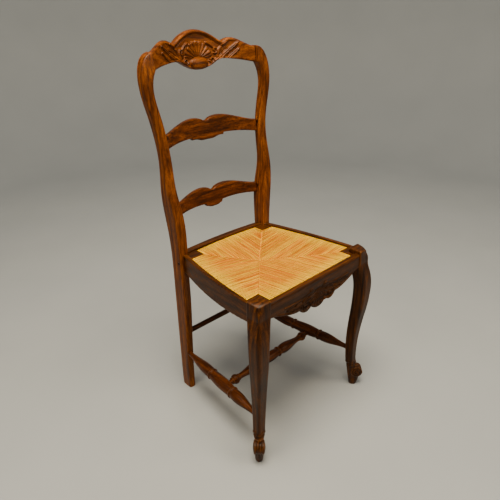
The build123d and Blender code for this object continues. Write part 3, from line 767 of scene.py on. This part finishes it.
def rush_strands(sizes, rng):
    """Every cord of the seat's four triangles, meeting along the diagonals between the corners."""
    low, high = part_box("rush_weave")
    front_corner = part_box("right_seat_front_corner")
    rear_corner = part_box("right_seat_rear_corner")
    centre_y = (low.y + high.y) / 2 + sizes.centre_back
    half_thick = sizes.cord_thick / 2
    top = high.z - half_thick
    bottom = rear_corner[0].z + half_thick
    edge_z = (top + bottom) / 2
    tree = tree_of("rush_weave")
    strands = Strands()

    def lay(outer, inner, width, over, sunk):
        """One cord between the seat's edge and a diagonal; sunk is 0 at a corner and 1 at the centre."""
        start, end = Vector((*outer, 0)), Vector((*inner, 0))
        inward = (end - start).normalized()
        sideways = Vector((-inward.y, inward.x, 0))
        length = (end - start).length - half_thick
        lift = rng.uniform(-0.5, 0.0) * MM
        phase = rng.uniform(0, 2 * math.pi)
        fullness = rng.uniform(0.74, 1.0)
        drop, hang = sizes.seat_dip * sunk**0.85, sizes.seat_hang * sunk
        own_tone = rng.uniform(0, 1) ** 1.4 * 0.8
        profile = cord_profile(length, top + lift, bottom, sizes.edge_round, drop, hang, over)
        path, normals, widths, tones_and_edge_highlight = [], [], [], []
        for depth, height, direction in profile:
            sway = 0.25 * MM * math.sin(depth * 70 + phase)
            flat = start + inward * (half_thick + depth) + sideways * sway
            path.append(Vector((flat.x, flat.y, height)))
            normals.append((inward * direction[0] + Vector((0, 0, direction[1]))).normalized())
            widths.append(width / 2 * fullness * (1.0 + 0.07 * math.sin(depth * 140 + phase * 2)))
            # painted highlight: cords pale over the seat's rolled edge and the first centimetres in, fading
            # towards the middle
            tones_and_edge_highlight.append(own_tone + (1 - own_tone) * 0.8 * (1 - fade(depth, 0.01, 0.05)))
        strands.add(path, normals, sideways, widths, half_thick, tones_and_edge_highlight)

    for corner_x, corner_y, count, toward in (
        (front_corner[0].x, front_corner[1].y, sizes.front_cords, 1),
        (rear_corner[0].x, rear_corner[0].y, sizes.rear_cords, -1),
    ):
        rail_pitch = corner_x / count
        side_pitch = abs(centre_y - corner_y) / count
        for index in range(count):
            share = (index + 0.5) / count
            cross_x = corner_x * (1 - share)
            cross_y = corner_y + (centre_y - corner_y) * share
            rail_y = hit(tree, (cross_x, -0.4 * toward, edge_z), (0, toward, 0)).y
            side_x = hit(tree, (0.4, cross_y, edge_z), (-1, 0, 0)).x
            for side in (-1, 1):
                lay((side * cross_x, rail_y), (side * cross_x, cross_y), rail_pitch, 0.0, share)
                lay((side * side_x, cross_y), (side * cross_x, cross_y), side_pitch, 0.9 * MM, share)
    return strands


# ---- panel settings ---------------------------------------------------------------------------


def colour_setting(label, use, code):
    """A colour shown in the panel."""
    return bpy.props.FloatVectorProperty(
        name=label, description=use, subtype="COLOR", default=srgb(code), min=0, max=1
    )


def length_setting(label, use, size):
    """A length shown in the panel."""
    return bpy.props.FloatProperty(name=label, description=use, unit="LENGTH", default=size, precision=5)


def count_setting(label, use, count):
    """A number of things shown in the panel."""
    return bpy.props.IntProperty(name=label, description=use, default=count)


class ChairLook(bpy.types.PropertyGroup):
    """Colours of the chair's finishes and of the stage."""

    golden_pale: colour_setting("Golden oak, pale", "Spring wood of the posts and crest", "#8a4a08")
    golden_dark: colour_setting("Golden oak, dark", "Summer wood of the posts and crest", "#421d02")
    brown_pale: colour_setting("Brown oak, pale", "Spring wood of the slats and stretchers", "#6e3705")
    brown_dark: colour_setting("Brown oak, dark", "Summer wood of the slats and stretchers", "#301401")
    dark_pale: colour_setting("Dark oak, pale", "Spring wood of the front legs and seat rails", "#5c3106")
    dark_dark: colour_setting("Dark oak, dark", "Summer wood of the front legs and seat rails", "#240f00")
    raw_pale: colour_setting("Bare oak, pale", "Pale streaks of the seat bars", "#a58a64")
    raw_dark: colour_setting("Bare oak, dark", "Dark streaks of the seat bars", "#6e5638")
    rush_pale: colour_setting("Rush, straw", "The palest cords", "#ffca10")
    rush_deep: colour_setting("Rush, orange", "The deepest cords", "#e48200")
    rush_shade: colour_setting("Rush, shade", "Brown between the cords", "#3c1a00")
    floor: colour_setting("Floor", "The stage's floor", "#a3aab0")


class ChairSizes(bpy.types.PropertyGroup):
    """Sizes of the rush work."""

    cord_thick: length_setting("Cord thickness", "Height of a rush cord on the seat", 3.8 * MM)
    seat_dip: length_setting("Seat dip", "How far the woven seat has sunk in the middle", 24 * MM)
    seat_hang: length_setting("Seat hang", "How far the underside hangs in the middle", 16 * MM)
    edge_round: length_setting("Edge roll", "Radius of the cords over the seat's edge", 5 * MM)
    centre_back: length_setting("Centre offset", "How far the diagonals meet behind the middle", 26 * MM)
    front_cords: count_setting("Front cords", "Cords over each half of the front", 36)
    rear_cords: count_setting("Rear cords", "Cords over each half of the rear", 27)


# ---- operators --------------------------------------------------------------------------------


class CHAIR_OT_carved_crest(bpy.types.Operator):
    """Build the carved crest rail"""

    bl_idname = "chair.carved_crest"
    bl_label = "Carved crest rail"

    def execute(self, context):
        mesh = shaped_board(
            "crest_rail",
            half=166.6 * MM,
            overlap=0,
            thick=19 * MM,
            edge=6 * MM,
            relief=crest_relief,
            columns=400,
            rows=130,
        )
        show("carved_crest_rail", mesh, "golden_oak_X", ["crest_rail"])
        return {"FINISHED"}


class CHAIR_OT_slats(bpy.types.Operator):
    """Build the two shaped slats of the back"""

    bl_idname = "chair.slats"
    bl_label = "Back slats"

    def execute(self, context):
        for node, half in (("upper_slat", 154 * MM), ("lower_slat", 145 * MM)):
            mesh = shaped_board(
                node,
                half=half,
                overlap=5 * MM,
                thick=13 * MM,
                edge=2.8 * MM,
                relief=plain_relief,
                columns=300,
                rows=54,
            )
            show(f"shaped_{node}", mesh, "brown_oak_X", [node])
        return {"FINISHED"}


class CHAIR_OT_carved_apron(bpy.types.Operator):
    """Build the front rail with its carved apron"""

    bl_idname = "chair.carved_apron"
    bl_label = "Carved front rail"

    def execute(self, context):
        mesh = carved_apron("front_rail", columns=400, rows=90)
        show("carved_front_rail", mesh, "dark_oak_X", ["front_rail"])
        return {"FINISHED"}


FOOT_INSET = 28.2 * MM  # from the scroll's outermost point in to the foot's centre, along X or Y
TOP_INSET = 15 * MM  # and from there in to the centre of the leg's square top


class CHAIR_OT_front_legs(bpy.types.Operator):
    """Build the cabriole front legs with scroll feet"""

    bl_idname = "chair.front_legs"
    bl_label = "Front legs"

    def execute(self, context):
        for side in SIDES:
            node = f"{side}_front_leg"
            sign = 1 if side == "right" else -1
            low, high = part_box(node)
            outer_x = high.x if sign > 0 else low.x
            foot = (outer_x - sign * FOOT_INSET, low.y + FOOT_INSET)
            top_centre = (foot[0] - sign * TOP_INSET, foot[1] + TOP_INSET)
            outward = (sign / math.sqrt(2), -1 / math.sqrt(2))

            def carve(mesh):
                carve_foot(mesh, foot, outward)
                wear_top(mesh, top_centre, high.z, outward)

            show_worked(node, "dark_oak_Z", grid=1.1 * MM, softening=1, shape=carve)
        return {"FINISHED"}


class CHAIR_OT_posts(bpy.types.Operator):
    """Build the rear posts"""

    bl_idname = "chair.posts"
    bl_label = "Rear posts"

    def execute(self, context):
        for side in SIDES:
            show_worked(f"{side}_rear_post", "golden_oak_Z")
        return {"FINISHED"}


class CHAIR_OT_seat_rails(bpy.types.Operator):
    """Build the side and rear seat rails"""

    bl_idname = "chair.seat_rails"
    bl_label = "Seat rails"

    def execute(self, context):
        for side in SIDES:
            show_worked(f"{side}_side_rail", "dark_oak_Y")
        show_worked("rear_rail", "dark_oak_X")
        return {"FINISHED"}


class CHAIR_OT_stretchers(bpy.types.Operator):
    """Build the turned stretchers"""

    bl_idname = "chair.stretchers"
    bl_label = "Stretchers"

    def execute(self, context):
        for side in SIDES:
            show_worked(f"{side}_side_stretcher", "brown_oak_Y", grid=1.0 * MM, softening=1)
        show_worked("cross_stretcher", "brown_oak_X", grid=0.9 * MM, softening=1)
        show_worked("rear_stretcher", "dark_oak_X", grid=1.2 * MM, softening=2)
        return {"FINISHED"}


RUSH_SEED = 41


class CHAIR_OT_rush_seat(bpy.types.Operator):
    """Weave the rush seat"""

    bl_idname = "chair.rush_seat"
    bl_label = "Rush seat"

    def execute(self, context):
        strands = rush_strands(context.scene.chair_sizes, random.Random(RUSH_SEED))
        stands_for = ["rush_weave", "rush_packing"]
        weave = show("woven_rush", strands.mesh("woven_rush"), "rush", stands_for)
        return {"FINISHED"}


class CHAIR_OT_seat_woodwork(bpy.types.Operator):
    """Build the seat's corner pieces and bars, and the corner blocks in the frame"""

    bl_idname = "chair.seat_woodwork"
    bl_label = "Seat woodwork"

    def execute(self, context):
        for side in SIDES:
            for end in ("front", "rear"):
                seat_corner, frame_block = f"{side}_seat_{end}_corner", f"{side}_{end}_corner_block"
                show_worked(seat_corner, "dark_oak_X", grid=0.9 * MM, softening=2)
                show_worked(frame_block, "raw_wood", grid=1.2 * MM, softening=2)
        for node in ("seat_front_bar", "seat_rear_bar", "left_seat_side_bar", "right_seat_side_bar"):
            finish_node(node, "raw_wood")
        return {"FINISHED"}


class CHAIR_OT_fastenings(bpy.types.Operator):
    """Finish the joint pegs and screws"""

    bl_idname = "chair.fastenings"
    bl_label = "Pegs and screws"

    def execute(self, context):
        finish_node("joint_pegs", "dark_oak_Y")
        finish_node("corner_block_screws", "steel")
        return {"FINISHED"}


# ---- stage ------------------------------------------------------------------------------------

CAMERA_AT = (-0.8325, -0.8364, 1.0305)
CAMERA_TURN = (-43.91, 25.94, -0.66)  # degrees: round the chair, downward, and tilt
CAMERA_LENS = 34.75
LIGHTS = (
    # name, place, size, watts, colour
    ("window", (1.0, -1.9, 2.1), 1.2, 26, "#ffe8c4"),
    ("ceiling", (-0.4, -0.3, 2.5), 1.3, 94, "#ffeccc"),
    ("side", (-1.9, 0.2, 1.9), 1.2, 16, "#ffe4bc"),
)
CHAIR_MIDDLE = Vector((0, 0, 0.45))
WORLD_SHADE = "#e9eaec"
WORLD_STRENGTH = 0.3


def camera_axes(turn, down, tilt):
    """Right, up and backward directions of a camera from its angles in degrees."""
    turn, down, tilt = (math.radians(angle) for angle in (turn, down, tilt))
    back = Vector((math.sin(turn) * math.cos(down), -math.cos(turn) * math.cos(down), math.sin(down)))
    right = Vector((math.cos(turn), math.sin(turn), 0))
    up = back.cross(right)
    return (
        math.cos(tilt) * right + math.sin(tilt) * up,
        math.cos(tilt) * up - math.sin(tilt) * right,
        back,
    )


def cove_mesh(name):
    """A round floor that sweeps up into a wall well clear of the chair."""
    flat, sweep, wall = 2.5, 1.0, 3.4
    profile = [(0.01, 0), (flat, 0)]
    for degrees in range(10, 91, 10):
        angle = math.radians(degrees)
        profile.append((flat + sweep * math.sin(angle), sweep * (1 - math.cos(angle))))
    profile.append((flat + sweep, wall))
    turns = 48
    points, faces = [], []
    for row, (radius, height) in enumerate(profile):
        for turn in range(turns):
            angle = 2 * math.pi * turn / turns
            points.append((radius * math.cos(angle), radius * math.sin(angle), height))
            if row:
                after = (turn + 1) % turns
                below = (row - 1) * turns
                faces.append((below + turn, below + after, below + turns + after, below + turns + turn))
    mesh = mesh_of(name, points, faces + [tuple(range(turns))])
    mesh.polygons.foreach_set("use_smooth", [True] * len(mesh.polygons))
    return mesh


class CHAIR_OT_stage(bpy.types.Operator):
    """Set up the floor, lights and camera"""

    bl_idname = "chair.stage"
    bl_label = "Stage"

    def execute(self, context):
        scene = context.scene
        floor = bpy.data.objects.new("stage_floor", cove_mesh("stage_floor"))
        floor.location.z = -0.5 * MM
        floor.data.materials.append(pale_floor("painted_floor", scene.chair_look.floor))
        scene.collection.objects.link(floor)
        for name, place, size, watts, code in LIGHTS:
            light = bpy.data.lights.new(name, "AREA")
            light.shape = "DISK"
            light.size = size
            light.energy = watts
            light.color = srgb(code)
            lamp = bpy.data.objects.new(name, light)
            lamp.location = place
            aim = CHAIR_MIDDLE - Vector(place)
            lamp.rotation_euler = aim.to_track_quat("-Z", "Y").to_euler()
            scene.collection.objects.link(lamp)
        world = bpy.data.worlds.new("studio")
        world.use_nodes = True
        background = world.node_tree.nodes["Background"]
        background.inputs["Color"].default_value = (*srgb(WORLD_SHADE), 1)
        background.inputs["Strength"].default_value = WORLD_STRENGTH
        scene.world = world
        camera = bpy.data.objects.new("camera", bpy.data.cameras.new("camera"))
        camera.data.lens = CAMERA_LENS
        camera.data.sensor_width = 36
        axes = camera_axes(*CAMERA_TURN)
        turned = Matrix((axes[0], axes[1], axes[2])).transposed().to_4x4()
        camera.matrix_world = Matrix.Translation(CAMERA_AT) @ turned
        scene.collection.objects.link(camera)
        scene.camera = camera
        return {"FINISHED"}


OPERATORS = (
    CHAIR_OT_carved_crest,
    CHAIR_OT_slats,
    CHAIR_OT_carved_apron,
    CHAIR_OT_front_legs,
    CHAIR_OT_posts,
    CHAIR_OT_seat_rails,
    CHAIR_OT_stretchers,
    CHAIR_OT_rush_seat,
    CHAIR_OT_seat_woodwork,
    CHAIR_OT_fastenings,
    CHAIR_OT_stage,
)


class CHAIR_PT_panel(bpy.types.Panel):
    """Chair settings and the steps that build it"""

    bl_idname = "CHAIR_PT_panel"
    bl_label = "Chair"
    bl_space_type = "VIEW_3D"
    bl_region_type = "UI"
    bl_category = "Chair"

    def draw(self, context):
        for group in (context.scene.chair_look, context.scene.chair_sizes):
            for name in group.bl_rna.properties.keys():
                if name not in ("rna_type", "name"):
                    self.layout.prop(group, name)
        for operator in OPERATORS:
            self.layout.operator(operator.bl_idname)


CLASSES = (ChairLook, ChairSizes, *OPERATORS, CHAIR_PT_panel)


def register():
    for cls in CLASSES:
        bpy.utils.register_class(cls)
    bpy.types.Scene.chair_look = bpy.props.PointerProperty(type=ChairLook)
    bpy.types.Scene.chair_sizes = bpy.props.PointerProperty(type=ChairSizes)


def unregister():
    del bpy.types.Scene.chair_sizes
    del bpy.types.Scene.chair_look
    for cls in reversed(CLASSES):
        bpy.utils.unregister_class(cls)


def main():
    """Builds every piece in order."""
    register()
    for operator in OPERATORS:
        section, name = operator.bl_idname.split(".")
        getattr(getattr(bpy.ops, section), name)()


if __name__ == "__main__":
    main()
